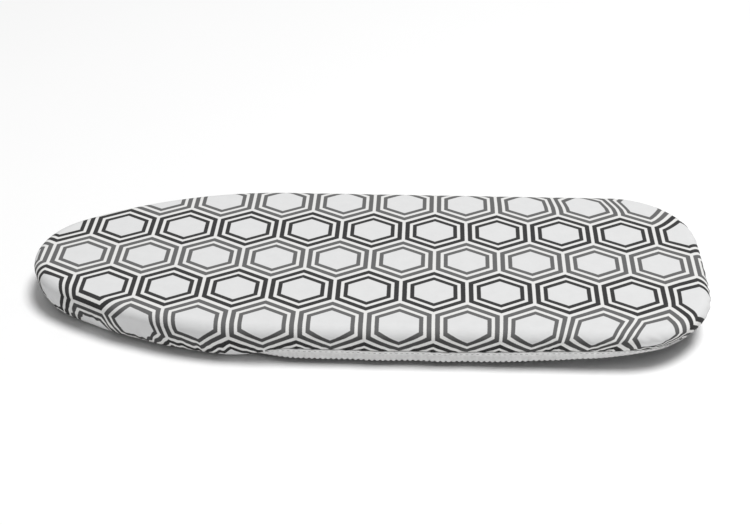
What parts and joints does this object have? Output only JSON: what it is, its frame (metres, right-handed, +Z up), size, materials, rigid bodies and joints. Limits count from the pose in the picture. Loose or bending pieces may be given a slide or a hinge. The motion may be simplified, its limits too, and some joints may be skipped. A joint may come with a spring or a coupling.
{
  "type": "tabletop ironing board",
  "caption": "Tapered tabletop ironing board with a padded, elastic-hemmed printed cover over a vented steel top, on folding tube legs with rubber feet.",
  "frame": {"origin": "on the table, under the middle of the board's outline, with the legs folded", "axes": "+X along the board from the round nose to the squared tail, +Y across it, +Z up out of the ironing surface"},
  "size_m": [0.8069, 0.311, 0.054],
  "materials": {
    "cotton": "printed cotton, hexagons in grey and charcoal",
    "elastic": "woven elastic, gathered",
    "felt": "needle felt",
    "painted_steel": "light grey powder coat",
    "zinc_steel": "zinc plated",
    "rivet_alloy": "plain",
    "saddle_plastic": "fine grain",
    "foot_rubber": "moulded",
    "leg_paint": "light grey powder coat"
  },
  "bodies": {
    "board": {"cover": "cotton", "hem_elastic": "elastic", "foam_pad": "felt", "mesh_top": "painted_steel", "rim_frame": "painted_steel", "cross_rail_nose": "painted_steel", "cross_rail_tail": "painted_steel", "centre_rail": "painted_steel", "hinge_bracket_nose_left": "zinc_steel", "hinge_bracket_nose_right": "zinc_steel", "hinge_bracket_tail_left": "zinc_steel", "hinge_bracket_tail_right": "zinc_steel", "pivot_pin_nose_left": "zinc_steel", "pivot_pin_nose_right": "zinc_steel", "pivot_pin_tail_left": "zinc_steel", "pivot_pin_tail_right": "zinc_steel", "bracket_rivets": "rivet_alloy", "leg_saddle_nose": "saddle_plastic", "leg_saddle_tail": "saddle_plastic", "saddle_rivets": "rivet_alloy"},
    "nose_leg": {"leg_nose": "leg_paint", "foot_nose_left": "foot_rubber", "foot_nose_right": "foot_rubber"},
    "tail_leg": {"leg_tail": "leg_paint", "foot_tail_left": "foot_rubber", "foot_tail_right": "foot_rubber"}
  },
  "joints": [
    {"name": "nose_leg_fold", "type": "hinge", "parent": "board", "child": "nose_leg", "pos_m": [-0.235, 0, 0.011], "axis": [0, 1, 0], "range_deg": [0, 100]},
    {"name": "tail_leg_fold", "type": "hinge", "parent": "board", "child": "tail_leg", "pos_m": [0.235, 0, 0.011], "axis": [0, -1, 0], "range_deg": [0, 100]}
  ]
}
